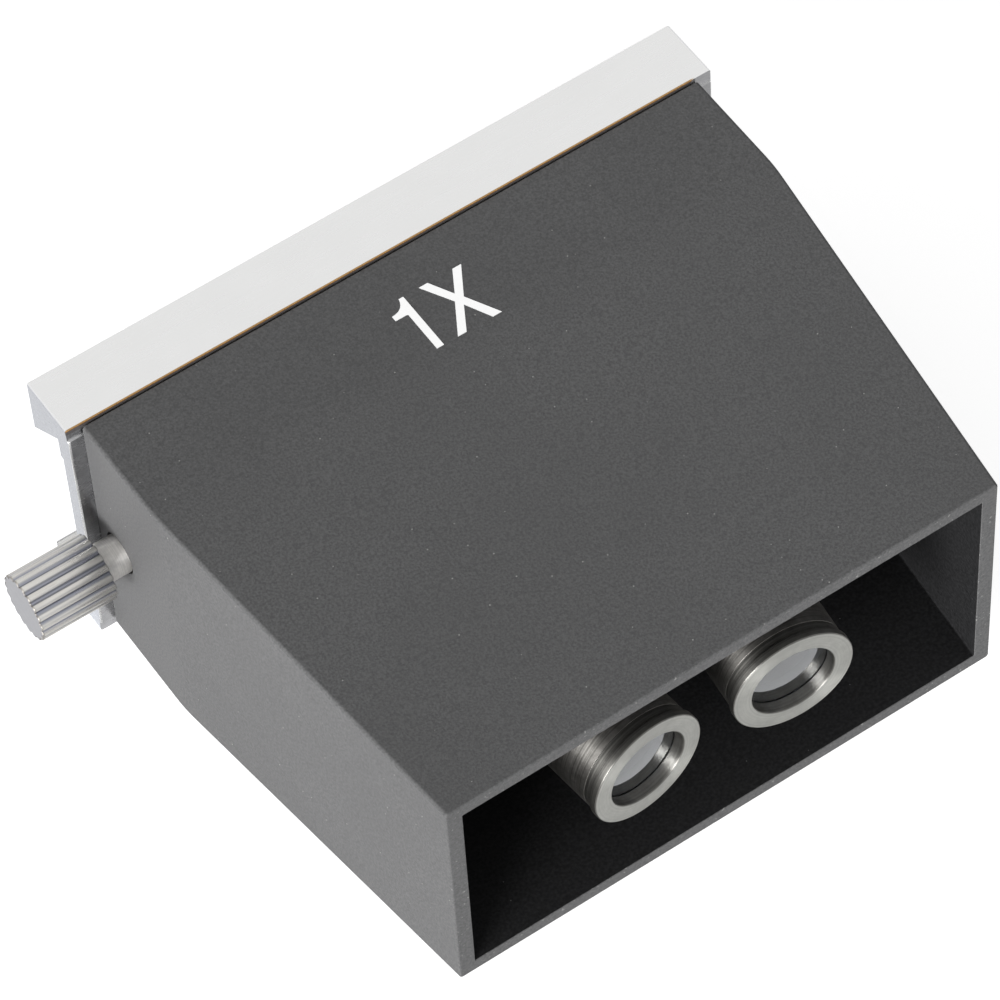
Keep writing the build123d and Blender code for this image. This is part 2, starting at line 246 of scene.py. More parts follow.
class Finish(Nodes):
    """One node-based material, built up from a Principled shader."""

    def __init__(self, name, color, **sockets):
        self.material = bpy.data.materials.new(name)
        super().__init__(self.material)
        self.shader = self.tree.nodes["Principled BSDF"]
        self.shader.inputs["Base Color"].default_value = (*color, 1.0)
        for socket, value in sockets.items():
            self.shader.inputs[socket.replace("_", " ")].default_value = value
        self.coordinates = self.node("ShaderNodeTexCoord").outputs["Object"]

    def stretched(self, scale):
        """Object coordinates multiplied along each axis, for grain that runs one way."""
        mapping = self.node("ShaderNodeMapping")
        mapping.inputs["Scale"].default_value = scale
        self.link(self.coordinates, mapping.inputs["Vector"])
        return mapping.outputs["Vector"]

    def noise(self, scale, detail=2.0, vector=None, roughness=0.5):
        texture = self.node("ShaderNodeTexNoise")
        texture.inputs["Scale"].default_value = scale
        texture.inputs["Detail"].default_value = detail
        texture.inputs["Roughness"].default_value = roughness
        self.link(vector or self.coordinates, texture.inputs["Vector"])
        return texture.outputs["Fac"]

    def specks(self, scale, radius):
        """1 inside small sparse dots, 0 elsewhere. The radius is in cells of the pattern."""
        texture = self.node("ShaderNodeTexVoronoi")
        texture.inputs["Scale"].default_value = scale
        self.link(self.coordinates, texture.inputs["Vector"])
        return self.mapped(texture.outputs["Distance"], radius * 0.7, radius, 1.0, 0.0)

    def vector(self, operation, first, second=None):
        made = self.node("ShaderNodeVectorMath", operation=operation)
        for socket, value in zip(made.inputs, (first, second)):
            if isinstance(value, Vector):
                socket.default_value = value
            elif value is not None:
                self.link(value, socket)
        return made.outputs["Value" if operation in ("DOT_PRODUCT", "LENGTH") else "Vector"]

    def from_axis(self, start, along):
        """Distance from an axis, in metres."""
        offset = self.vector("SUBTRACT", self.coordinates, start)
        return self.vector("LENGTH", self.vector("CROSS_PRODUCT", offset, along))

    def along_axis(self, start, along):
        """Distance along an axis, in metres."""
        return self.vector("DOT_PRODUCT", self.vector("SUBTRACT", self.coordinates, start), along)

    def facing(self, direction, both_ways=True):
        """1 on faces square to a direction, and 0 elsewhere."""
        normal = self.node("ShaderNodeTexCoord").outputs["Normal"]
        turned = self.vector("DOT_PRODUCT", normal, direction)
        if both_ways:
            turned = self.math("ABSOLUTE", turned)
        return self.mapped(turned, 0.75, 0.95)

    def mapped(self, value, low, high, to_low=0.0, to_high=1.0):
        """Value carried from one range to another, held inside the second."""
        ramp = self.node("ShaderNodeMapRange")
        self.link(value, ramp.inputs["Value"])
        for socket, number in zip(("From Min", "From Max", "To Min", "To Max"), (low, high, to_low, to_high)):
            ramp.inputs[socket].default_value = number
        return ramp.outputs["Result"]

    def rising(self, distance, low, high):
        """0 up to a first distance in millimetres, and 1 from a second one on."""
        return self.mapped(distance, low * MM, high * MM)

    def falling(self, distance, low, high):
        """1 up to a first distance in millimetres, and 0 from a second one on."""
        return self.mapped(distance, low * MM, high * MM, 1.0, 0.0)

    def mix(self, factor, first, second):
        """Colour that goes from the first to the second with a factor."""
        made = self.node("ShaderNodeMix", data_type="RGBA")
        self.link(factor, made.inputs["Factor"])
        for index, value in zip(MIX_INPUTS, (first, second)):
            if isinstance(value, tuple):
                made.inputs[index].default_value = (*value, 1.0)
            else:
                self.link(value, made.inputs[index])
        return made.outputs[MIX_RESULT]

    def color(self, value):
        self.link(value, self.shader.inputs["Base Color"])

    def roughness(self, value):
        self.link(value, self.shader.inputs["Roughness"])

    def bump(self, height, distance, strength=1.0):
        made = self.node("ShaderNodeBump")
        made.inputs["Strength"].default_value = strength
        made.inputs["Distance"].default_value = distance
        self.link(height, made.inputs["Height"])
        self.link(made.outputs["Normal"], self.shader.inputs["Normal"])


# ---- materials ----
def hood_paint():
    """Charcoal crinkle paint: fine grain, faint clouds, a few pale specks and a worn rim."""
    finish = Finish("hood_paint", (0.11, 0.11, 0.111), Roughness=0.6, Specular_IOR_Level=0.32)
    clouds = finish.mapped(finish.noise(60.0, 3.0), 0.35, 0.65)
    grain = finish.mapped(finish.noise(4600.0, 3.0, roughness=0.65), 0.36, 0.64)
    base = finish.mix(clouds, (0.113, 0.113, 0.114), (0.127, 0.127, 0.128))
    grained = finish.mix(grain, (0.078, 0.078, 0.079), base)
    speckled = finish.mix(finish.specks(720.0, 0.045), grained, (0.42, 0.42, 0.4))
    rim = finish.rising(finish.along_axis(HOOD_LOW * MM, -Y), -0.2, -0.1)
    wear = finish.mapped(finish.noise(2600.0, 2.0), 0.66, 0.72, 0.0, 0.6)
    finish.color(finish.mix(finish.math("MULTIPLY", rim, wear), speckled, (0.34, 0.34, 0.33)))
    finish.bump(finish.noise(5200.0, 3.0), 0.00003, 0.7)
    return finish.material


def inner_black():
    """Flat black inside of the hood, with dust specks."""
    finish = Finish("inner_black", (0.006, 0.006, 0.0065), Roughness=0.7, Specular_IOR_Level=0.25)
    grain = finish.mapped(finish.noise(3800.0, 2.0), 0.35, 0.7)
    base = finish.mix(grain, (0.007, 0.007, 0.0075), (0.019, 0.019, 0.02))
    finish.color(finish.mix(finish.specks(620.0, 0.04), base, (0.12, 0.12, 0.12)))
    finish.bump(finish.noise(4500.0, 2.0), 0.00002, 0.5)
    return finish.material


def satin_plate():
    """Ground bright plate: faint grain along the slide, darker bluish ends and darker faces towards the hood as
    painted reflections, bevels painted near white as painted highlights, and under the upper rail's front edge a warm
    line over painted shade.
    """
    finish = Finish("satin_plate", (0.8, 0.8, 0.79), Metallic=1.0, Roughness=0.26)
    grain = finish.noise(1.0, 3.0, finish.stretched((260.0, 2600.0, 2600.0)))
    clouds = finish.noise(260.0, 4.0)
    shade = finish.mapped(finish.math("MULTIPLY", grain, clouds), 0.12, 0.4)
    faces = finish.mix(shade, (0.78, 0.78, 0.775), (0.8, 0.8, 0.795))
    # Faces towards the hood are painted darker, with a mottle: a painted reflection of the dark hood beside them.
    hood_reflection_dark = finish.mix(finish.noise(700.0, 3.0), (0.3, 0.3, 0.31), (0.62, 0.62, 0.63))
    fronts_painted_dark = finish.mix(finish.facing(-Y, both_ways=False), faces, hood_reflection_dark)
    # Faces across the slide, at its ends, are painted a darker bluish grey: a painted reflection of the room.
    ends = finish.mix(finish.facing(X), fronts_painted_dark, (0.52, 0.535, 0.575))
    # Bevels, slanted to every axis, are painted near white: a painted highlight along the plate's edges.
    square = finish.math("ADD", finish.facing(X), finish.facing(Y))
    slanted = finish.mapped(finish.math("ADD", square, finish.facing(Z)), 0.0, 1.0, 1.0, 0.0)
    bevels_highlighted = finish.mix(slanted, ends, (0.97, 0.97, 0.96))
    # Under the rail's outer face a warm line turns into a near-black matt band, painted shade in the seam beside the
    # hood, with its distance below that face.
    place = finish.split(finish.coordinates)
    below = finish.math("SUBTRACT", PLATE_HIGH.z * MM, place["Z"])
    browned = finish.mix(finish.rising(below, 0.0, 0.1), (0.5, 0.28, 0.09), (0.13, 0.07, 0.04))
    warm_line_then_shade = finish.mix(finish.rising(below, 0.12, 0.22), browned, (0.085, 0.08, 0.08))
    front = finish.falling(place["Y"], SEAT_Y + RABBET_DEPTH, SEAT_Y + RABBET_DEPTH + 0.04)
    covered = finish.falling(place["X"], PLATE_HIGH.x - 2.0, PLATE_HIGH.x - 1.6)
    warm_line_shade_mask = finish.math("MULTIPLY", finish.falling(below, 0.56, 0.62), finish.math("MULTIPLY", front, covered))
    finish.color(finish.mix(warm_line_shade_mask, bevels_highlighted, warm_line_then_shade))
    finish.link(finish.math("SUBTRACT", 1.0, warm_line_shade_mask), finish.shader.inputs["Metallic"])
    finish.roughness(finish.mapped(grain, 0.3, 0.7, 0.23, 0.29))
    finish.bump(grain, 0.000005, 0.12)
    return finish.material


def knob_metal():
    """Nickel plate on the clamp screw: bright warm ridges, hollows painted darker as painted shade, the head's outer
    end edge painted dim as painted shade over its glints, and a grey end.
    """
    finish = Finish("knob_metal", (0.76, 0.745, 0.71), Metallic=1.0, Roughness=0.22)
    streaks = finish.noise(1.0, 3.0, finish.stretched((220.0, 2000.0, 2000.0)))
    ridges = finish.mix(finish.mapped(streaks, 0.3, 0.7), (0.57, 0.555, 0.525), (0.68, 0.665, 0.63))
    centre = Y * NECK_Y * MM
    along = finish.along_axis(centre, X)
    # The hollows between the ridges are painted a darker bluish grey: painted shade in the hollows.
    hollow_shade = finish.falling(finish.from_axis(centre, X), HEAD_RADIUS - 0.24, HEAD_RADIUS - 0.06)
    head = finish.falling(along, NECK_START, NECK_START + 0.02)
    fluted = finish.mix(finish.math("MULTIPLY", hollow_shade, head), ridges, (0.29, 0.3, 0.345))
    # Within 0.2 mm of the head's outer end the colour is painted dim and warm and the finish rougher: painted shade
    # over the glints on the rounded ridge ends.
    tip_dimming = finish.falling(along, SCREW_LOW.x, SCREW_LOW.x + 0.2)
    finish.color(finish.mix(finish.facing(X), finish.mix(tip_dimming, fluted, (0.22, 0.2, 0.17)), (0.37, 0.37, 0.385)))
    finish.roughness(finish.math("MULTIPLY_ADD", tip_dimming, 0.3, finish.mapped(streaks, 0.3, 0.7, 0.24, 0.33)))
    finish.bump(streaks, 0.000004, 0.2)
    return finish.material


def turned_metal(name, start, along, letter, rough, sides, face=None):
    """Turned metal: fine rings about an axis, glints drawn out across them, and a paler end face."""
    finish = Finish(name, sides[1], Metallic=1.0, Roughness=rough, Anisotropic=0.75, Anisotropic_Rotation=0.25)
    place = finish.math("ADD", finish.along_axis(start * MM, along), finish.from_axis(start * MM, along))
    texture = finish.node("ShaderNodeTexNoise", noise_dimensions="1D")
    texture.inputs["Scale"].default_value = 6500.0
    texture.inputs["Detail"].default_value = 4.0
    finish.link(place, texture.inputs["W"])
    rings = texture.outputs["Fac"]
    patches = finish.noise(1100.0, 4.0, roughness=0.7)
    shade = finish.mapped(finish.math("MULTIPLY", rings, patches), 0.14, 0.36)
    color = finish.mix(shade, *sides)
    if face:
        color = finish.mix(finish.facing(along), color, finish.mix(shade, *face))
    finish.color(color)
    finish.roughness(finish.mapped(rings, 0.3, 0.7, rough - 0.05, rough + 0.07))
    tangent = finish.node("ShaderNodeTangent", direction_type="RADIAL", axis=letter)
    finish.link(tangent.outputs["Tangent"], finish.shader.inputs["Tangent"])
    finish.bump(rings, 0.000003, 0.3)
    return finish.material


def lens_glass():
    """Coated glass: clear, with a strong cool reflection."""
    finish = Finish(
        "lens_glass", (0.93, 0.96, 1.0), Roughness=0.02, Transmission_Weight=1.0, IOR=1.52,
        Coat_Weight=1.0, Coat_Roughness=0.04, Coat_IOR=2.6, Coat_Tint=(0.88, 0.93, 1.0, 1.0),
    )
    finish.roughness(finish.mapped(finish.noise(700.0, 3.0), 0.45, 0.75, 0.01, 0.06))
    return finish.material


def plain_metal(name, low, high, rough, scale):
    """Machined metal with fine grain, for the pieces inside and behind."""
    finish = Finish(name, high, Metallic=1.0, Roughness=rough)
    grain = finish.noise(scale, 3.0)
    finish.color(finish.mix(finish.mapped(grain, 0.3, 0.7), low, high))
    finish.roughness(finish.mapped(grain, 0.3, 0.7, rough - 0.05, rough + 0.1))
    finish.bump(grain, 0.00001, 0.3)
    return finish.material


def black_anodised():
    """Black anodised block that holds the barrels."""
    finish = Finish("black_anodised", (0.008, 0.008, 0.009), Roughness=0.5, Specular_IOR_Level=0.3)
    grain = finish.noise(3000.0, 3.0)
    finish.color(finish.mix(finish.mapped(grain, 0.3, 0.7), (0.005, 0.005, 0.006), (0.012, 0.012, 0.013)))
    finish.bump(grain, 0.00001, 0.4)
    return finish.material


def mark_paint():
    """White foil of the power mark."""
    finish = Finish("mark_paint", (0.98, 0.98, 0.975), Metallic=1.0, Roughness=0.5)
    grain = finish.mapped(finish.noise(2500.0, 2.0), 0.3, 0.7)
    finish.color(finish.mix(grain, (0.965, 0.965, 0.96), (0.99, 0.99, 0.985)))
    return finish.material


# ---- mesh helpers ----
def closed_mesh(name, points, faces, materials=(), inner=()):
    """Mesh from points in millimetres, facing outwards. Faces listed in inner take the second material."""
    mesh = bpy.data.meshes.new(name)
    mesh.from_pydata([Vector(point) * MM for point in points], [], faces)
    for material in materials:
        mesh.materials.append(material)
    for index in inner:
        mesh.polygons[index].material_index = 1
    shell = bmesh.new()
    shell.from_mesh(mesh)
    bmesh.ops.recalc_face_normals(shell, faces=shell.faces)
    shell.to_mesh(mesh)
    shell.free()
    return mesh


def shade(piece, flat_weight=True):
    """Smooth a piece up to its sharp edges, with its flat faces kept flat."""
    piece.data.shade_smooth()
    piece.data.set_sharp_from_angle(angle=SMOOTH_ANGLE)
    if flat_weight:
        piece.modifiers.new("flat_faces_stay_flat", "WEIGHTED_NORMAL").keep_sharp = True


def finish_piece(piece, body, replaced=(), flat_weight=True):
    """Shade a piece, and tell the frame what it is."""
    shade(piece, flat_weight)
    if replaced:
        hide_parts(*replaced)
    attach(piece, body)


def add_piece(name, points, faces, materials, body, replaced=(), inner=(), flat_weight=True):
    """New piece from points in millimetres. Faces listed in inner take the second material."""
    piece = new_object(name, closed_mesh(name, points, faces, materials, inner))
    finish_piece(piece, body, replaced, flat_weight)
    return piece


def quarter(steps):
    """Sine and cosine pairs from 0 to 90 degrees, for rounded edges."""
    angles = [math.pi / 2 * step / steps for step in range(steps + 1)]
    return [(math.sin(angle), math.cos(angle)) for angle in angles]


def full_turn(steps):
    """Angles of evenly spaced points around a circle."""
    return [2 * math.pi * step / steps for step in range(steps)]


def loops_to_faces(loop_count, size, closed):
    """Quads between loops of points that follow each other; closed joins the last to the first."""
    faces = []
    for loop in range(loop_count if closed else loop_count - 1):
        after = (loop + 1) % loop_count
        for index in range(size):
            beside = (index + 1) % size
            faces.append((loop * size + index, loop * size + beside, after * size + beside, after * size + index))
    return faces


def closed_loops(loops):
    """Points and faces of loops that follow each other, closed at both ends."""
    size = len(loops[0])
    points = [point for loop in loops for point in loop]
    faces = loops_to_faces(len(loops), size, closed=False)
    faces.append(tuple(range(size)))
    faces.append(tuple(range(len(points) - size, len(points))))
    return points, faces


def joined(parts):
    """Points and faces of several closed shapes as one."""
    points, faces = [], []
    for more_points, more_faces in parts:
        first = len(points)
        points += more_points
        faces += [tuple(first + corner for corner in face) for face in more_faces]
    return points, faces


def rounded_outline(corners, steps=5):
    """Closed outline from (u, v, radius) corners, with each corner turned into an arc."""
    outline = []
    count = len(corners)
    for index, (u, v, radius) in enumerate(corners):
        corner = Vector((u, v))
        if radius <= 0:
            outline.append((u, v))
            continue
        before = (Vector(corners[index - 1][:2]) - corner).normalized()
        after = (Vector(corners[(index + 1) % count][:2]) - corner).normalized()
        half = before.angle(after) / 2
        middle = corner + (before + after).normalized() * radius / math.sin(half)
        first = corner + before * radius / math.tan(half) - middle
        last = corner + after * radius / math.tan(half) - middle
        for step in range(steps + 1):
            share = step / steps
            outline.append(tuple(middle + (first * (1 - share) + last * share).normalized() * radius))
    return outline


def lathe(outline, start, along, segments=TURN_SEGMENTS):
    """Points and faces of a closed (along, radius) outline turned about an axis."""
    beside = along.cross(Z)
    points, rows, faces = [], [], []
    for distance, radius in outline:
        centre = start + along * distance
        if radius < 1e-6:
            rows.append([len(points)] * segments)
            points.append(centre)
            continue
        rows.append(list(range(len(points), len(points) + segments)))
        points += [centre + (Z * math.cos(angle) + beside * math.sin(angle)) * radius for angle in full_turn(segments)]
    for row, after in zip(rows, rows[1:] + rows[:1]):
        for segment in range(segments):
            beyond = (segment + 1) % segments
            corners = [row[segment], row[beyond], after[beyond], after[segment]]
            face = [corner for place, corner in enumerate(corners) if corner not in corners[:place]]
            if len(face) > 2:
                faces.append(tuple(face))
    return points, faces


def softened(node, width, material, body, is_fine=None):
    """A CAD node with its flat faces merged and its longer sharp edges rounded."""
    shell = bmesh.new()
    shell.from_mesh(nodes[node].data)
    bmesh.ops.remove_doubles(shell, verts=shell.verts, dist=MERGE_DISTANCE * MM)
    bmesh.ops.dissolve_limit(shell, angle_limit=FLAT_ANGLE, verts=shell.verts, edges=shell.edges)
    sharp = [
        edge for edge in shell.edges
        if len(edge.link_faces) == 2 and edge.calc_length() > SHORTEST_ROUNDED * MM
        and math.degrees(edge.calc_face_angle_signed()) > SHARP_DEGREES
    ]
    fine = [edge for edge in sharp if is_fine and is_fine((edge.verts[0].co + edge.verts[1].co) / 2 / MM)]
    coarse = [edge for edge in sharp if edge not in fine]
    for edges, offset in ((coarse, width), (fine, FINE_WIDTH)):
        edges = [edge for edge in edges if edge.is_valid]
        bmesh.ops.bevel(shell, geom=edges, offset=offset * MM, segments=3, profile=0.5, affect="EDGES")
    mesh = bpy.data.meshes.new(node + "_soft")
    shell.to_mesh(mesh)
    shell.free()
    mesh.materials.clear()
    mesh.materials.append(material)
    finish_piece(new_object(node + "_soft", mesh), body, (node,))


def in_rabbet(middle):
    """Whether an edge lies along the small step between the rail's outer face and the hood."""
    return middle.y < SEAT_Y + RABBET_DEPTH and abs(middle.z) > PLATE_HIGH.z - RABBET_HEIGHT


# ---- hood ----
def rounded_rectangle(half_x, half_z, radius, steps=7):
    """Closed loop of (x, z) points with round corners."""
    points = []
    for corner, (side_x, side_z) in enumerate(((1, -1), (1, 1), (-1, 1), (-1, -1))):
        for step in range(steps + 1):
            angle = math.pi / 2 * (corner - 1 + step / steps)
            points.append((
                side_x * (half_x - radius) + radius * math.cos(angle),
                side_z * (half_z - radius) + radius * math.sin(angle),
            ))
    return points


def taper(depth):
    """Share of the full taper at a depth in front of the plate, with a soft start."""
    past = depth - HOOD_STRAIGHT
    if past <= -KINK:
        amount = 0.0
    elif past < KINK:
        amount = (past + KINK) ** 2 / (4 * KINK)
    else:
        amount = past
    return amount / (HOOD_LENGTH - HOOD_STRAIGHT)


def hood_loop(depth, inset_x, inset_z, radius):
    """Loop of points across the hood at a depth, drawn in from its outer faces."""
    half_x = HOOD_HIGH.x - SIDE_TAPER * taper(depth) - inset_x
    half_z = HOOD_HIGH.z - TOP_TAPER * taper(depth) - inset_z
    return [(x, SEAT_Y - depth, z) for x, z in rounded_rectangle(half_x, half_z, radius)]


def corner_boss(side_x, side_z):
    """Points and faces of the block inside one corner of the hood that takes a screw."""
    width, depth, height = BOSS
    inner_half = HOOD_HIGH.x - SIDE_WALL
    points = [
        (side_x * x, y, side_z * z)
        for x in (inner_half - width, inner_half)
        for y in (SEAT_Y, SEAT_Y - depth)
        for z in (BOSS_Z - height / 2, BOSS_Z + height / 2)
    ]
    return points, [(0, 1, 3, 2), (4, 5, 7, 6), (0, 1, 5, 4), (2, 3, 7, 6), (0, 2, 6, 4), (1, 3, 7, 5)]


def make_hood(paint, black):
    """Tapered hood with soft corners, a rounded rim, a black inside and the neck hole."""
    kink = [HOOD_STRAIGHT + KINK * share for share in (-1, -0.5, 0, 0.5, 1)]
    support = [kink[0] - KINK_SUPPORT, *kink, kink[-1] + KINK_SUPPORT]
    loops = []
    for sine, cosine in quarter(3):
        share = 1 - sine
        drawn_in = SEAT_ROUND * share
        loops.append(hood_loop(SEAT_ROUND * (1 - cosine), SEAT_SIDE_ROUND * share, drawn_in, HOOD_CORNER - drawn_in))
    loops += [hood_loop(depth, 0, 0, HOOD_CORNER) for depth in support]
    for sine, cosine in quarter(6):
        inset = RIM_ROUND * (1 - cosine)
        loops.append(hood_loop(HOOD_LENGTH - RIM_ROUND * (1 - sine), inset, inset, HOOD_CORNER - inset))
    for sine, cosine in quarter(3):
        inset = INNER_ROUND * (1 - sine)
        depth = HOOD_LENGTH - INNER_ROUND * (1 - cosine)
        loops.append(hood_loop(depth, SIDE_WALL - inset, TOP_WALL - inset, INNER_CORNER))
    rim_count = len(loops)
    loops += [hood_loop(depth, SIDE_WALL, TOP_WALL, INNER_CORNER) for depth in [*reversed(support), 0]]
    size = len(loops[0])
    shell = [point for loop in loops for point in loop], loops_to_faces(len(loops), size, closed=True)
    bosses = [corner_boss(side_x, side_z) for side_x in (-1, 1) for side_z in (-1, 1)]
    points, faces = joined([shell, *bosses])
    inner = range((rim_count - 1) * size, len(faces))
    hood = add_piece("hood_shell", points, faces, [paint, black], "unit", ("hood",), inner)
    drill(hood, Vector((HOOD_LOW.x, NECK_Y, 0)), X, NECK_HOLE_RADIUS, 2 * SIDE_WALL)


def drill(piece, start, along, radius, depth):
    """Cut a round hole into a piece, from a point on its surface, and shade the piece again."""
    outline = [(-depth, 0), (-depth, radius), (depth, radius), (depth, 0)]
    cutter = new_object("drill", closed_mesh("drill", *lathe(outline, start, along, DRILL_SEGMENTS)))
    piece.modifiers.clear()
    cut = piece.modifiers.new("drill", "BOOLEAN")
    cut.object = cutter
    cut.operation = "DIFFERENCE"
    cut.solver = "EXACT"
    bpy.context.view_layer.update()
    result = bpy.data.meshes.new_from_object(piece.evaluated_get(bpy.context.evaluated_depsgraph_get()))
    piece.modifiers.clear()
    piece.data = result
    shade(piece)
    bpy.data.objects.remove(cutter)


# ---- barrels ----
def lens_sag(radius):
    """How far the lens's front has fallen back at a distance from its axis."""
    return LENS_CURVE - math.sqrt(LENS_CURVE**2 - radius**2)


def make_optics(side, word, black):
    """Nose ring, barrel and lens of one side. Outlines are (along, radius, rounding)."""
    start = Vector((side * BARREL_SPACING / 2, HOOD_LOW.y + FACE_SETBACK, 0))
    along = Vector((side * math.sin(CONVERGENCE), math.cos(CONVERGENCE), 0))
    # The ring's sides and the whole barrel are painted a very dark metal: painted shade from the hood around them. The
    # ring's front face keeps a paler colour.
    ring_metal = turned_metal(
        f"{word}_ring_metal", start, along, "Y", 0.4, ((0.13, 0.127, 0.118), (0.19, 0.186, 0.173)),
        ((0.345, 0.345, 0.325), (0.437, 0.437, 0.41)),
    )
    barrel_metal = turned_metal(
        f"{word}_barrel_metal", start, along, "Y", 0.42, ((0.14, 0.135, 0.125), (0.25, 0.241, 0.226))
    )
    lens_start = SEAT_DEPTH + lens_sag(LENS_RADIUS) - lens_sag(APERTURE_RADIUS) + FIT_GAP
    lens_back = lens_start + LENS_EDGE
    lens_seat = lens_back + FIT_GAP
    barrel_length = (SEAT_Y - BARREL_BACK_GAP - start.y) / math.cos(CONVERGENCE)
    stop_start = barrel_length - STOP_RING_LENGTH

    ring = rounded_outline([
        (0, APERTURE_RADIUS, 0.15),
        (0, NOSE_RADIUS, 0.16),
        (NOSE_FLANGE, NOSE_RADIUS, 0.06),
        (NOSE_FLANGE, BARREL_RADIUS, 0.0),
        (NOSE_LENGTH, BARREL_RADIUS, 0.03),
        (NOSE_LENGTH, LENS_RADIUS + FIT_GAP, 0.0),
        (SEAT_DEPTH, LENS_RADIUS + FIT_GAP, 0.0),
        (SEAT_DEPTH, APERTURE_RADIUS, 0.08),
    ])
    points, faces = lathe(ring, start, along)
    add_piece(f"{word}_nose_ring_turned", points, faces, [ring_metal], "unit", (f"{word}_nose_ring",))

    inside = [
        (barrel_length, STOP_RING_RADIUS + FIT_GAP, 0.0),
        (stop_start, STOP_RING_RADIUS + FIT_GAP, 0.0),
        (stop_start, BORE_RADIUS, 0.0),
        (lens_seat, BORE_RADIUS, 0.0),
        (lens_seat, LENS_RADIUS + FIT_GAP, 0.0),
    ]
    tube = rounded_outline([
        (NOSE_LENGTH + FACING_GAP, LENS_RADIUS + FIT_GAP, 0.0),
        (NOSE_LENGTH + FACING_GAP, BARREL_RADIUS, 0.03),
        (barrel_length, BARREL_RADIUS, 0.15),
        *inside,
    ])
    points, faces = lathe(tube, start, along)
    inner = range((len(tube) - len(inside)) * TURN_SEGMENTS, len(faces))
    add_piece(
        f"{word}_barrel_turned", points, faces, [barrel_metal, black], "unit", (f"{word}_barrel",), inner
    )

    radii = [LENS_RADIUS * step / LENS_STEPS for step in range(LENS_STEPS + 1)]
    curve = [(lens_start - lens_sag(LENS_RADIUS) + lens_sag(radius), radius) for radius in radii]
    points, faces = lathe([*curve, (lens_back, LENS_RADIUS), (lens_back, 0)], start, along)
    edge = range(LENS_STEPS * TURN_SEGMENTS, (LENS_STEPS + 1) * TURN_SEGMENTS)
    add_piece(f"{word}_lens_polished", points, faces, [lens_glass(), black], "unit", (f"{word}_lens",), edge)


# ---- clamp screw ----
def screw_loop(x, radii):
    """Loop of points around the clamp screw's axis, with a radius for each."""
    around = zip(full_turn(SCREW_SEGMENTS), radii)
    return [(x, NECK_Y + radius * math.cos(angle), radius * math.sin(angle)) for angle, radius in around]


def round_loop(x, radius):
    """Loop of as many points around the plain stretches of the screw."""
    return screw_loop(x, [radius] * SCREW_SEGMENTS)


def fluted_loop(x, inset):
    """Loop of points around the fluted head at one place along it: hollows between crowned ridges."""
    radii = []
    for index in range(SCREW_SEGMENTS):
        away = abs((index / FLUTE_STEPS) % 1.0 - 0.5)
        if away < FLUTE_SHARE:
            cut = RIDGE_CROWN + (FLUTE_DEPTH - RIDGE_CROWN) * (1 - (away / FLUTE_SHARE) ** 2)
        else:
            cut = RIDGE_CROWN * ((0.5 - away) / (0.5 - FLUTE_SHARE)) ** 2
        radii.append(HEAD_RADIUS - inset - cut)
    return screw_loop(x, radii)


def make_clamp_screw(metal, plain):
    """Fluted head with rounded ends, smooth neck, thread and tip, in one turned piece."""
    thread_start = BUSH_LOW.x - THREAD_RUN_OUT
    thread_end = SCREW_HIGH.x - TIP_LENGTH
    rounding = [(HEAD_ROUND * (1 - sine), HEAD_ROUND * (1 - cosine)) for sine, cosine in quarter(4)]
    loops = [fluted_loop(SCREW_LOW.x + back, inset) for inset, back in rounding]
    loops += [fluted_loop(NECK_START - back, inset) for back, inset in rounding]
    head_count = len(loops)
    profile = [
        (NECK_START, NECK_RADIUS),
        (thread_start - NECK_CHAMFER, NECK_RADIUS),
        (thread_start, NECK_RADIUS - NECK_CHAMFER),
        (thread_start, THREAD_RADIUS),
    ]
    for turn in range(int((thread_end - thread_start) / THREAD_PITCH)):
        crest = thread_start + THREAD_PITCH * (turn + THREAD_CREST)
        profile += [
            (crest, THREAD_RADIUS),
            (crest + THREAD_FLANK, THREAD_RADIUS - THREAD_DEPTH),
            (crest + 2 * THREAD_FLANK, THREAD_RADIUS),
        ]
    profile += [
        (thread_end, THREAD_RADIUS),
        (thread_end, TIP_RADIUS),
        (SCREW_HIGH.x - TIP_CHAMFER, TIP_RADIUS),
        (SCREW_HIGH.x, TIP_RADIUS - TIP_CHAMFER),
    ]
    loops += [round_loop(x, radius) for x, radius in profile]
    points, faces = closed_loops(loops)
    # Everything behind the head's back face takes the plain metal, up to the two end caps.
    neck = range(head_count * SCREW_SEGMENTS, len(faces) - 2)
    add_piece("clamp_screw_turned", points, faces, [metal, plain], "screw", ("clamp_screw",), neck)


# ---- fasteners and small turned pieces ----
def socket_screw(x, z, shank, head, length, across):
    """Countersunk screw with a hexagon socket, from the groove floor down into the part."""
    sixth = math.pi / 3

    def round_ring(depth, radius):
        y = SCREW_FACE_Y - depth
        return [
            (x + radius * math.cos(angle), y, z + radius * math.sin(angle)) for angle in full_turn(FASTENER_SEGMENTS)
        ]

    def hexagon(depth, half):
        points = []
        for angle in full_turn(FASTENER_SEGMENTS):
            radius = half / math.cos((angle + sixth / 2) % sixth - sixth / 2)
            points.append((x + radius * math.cos(angle), SCREW_FACE_Y - depth, z + radius * math.sin(angle)))
        return points

    return closed_loops([
        hexagon(SOCKET_DEPTH, across / 2),
        hexagon(SOCKET_CHAMFER, across / 2),
        hexagon(0, across / 2 + SOCKET_CHAMFER),
        *[round_ring(depth, head - inset) for depth, inset in SCREW_EDGE],
        round_ring(head - shank, shank),
        round_ring(length - SCREW_TIP_CHAMFER, shank),
        round_ring(length, shank - SCREW_TIP_CHAMFER),
    ])


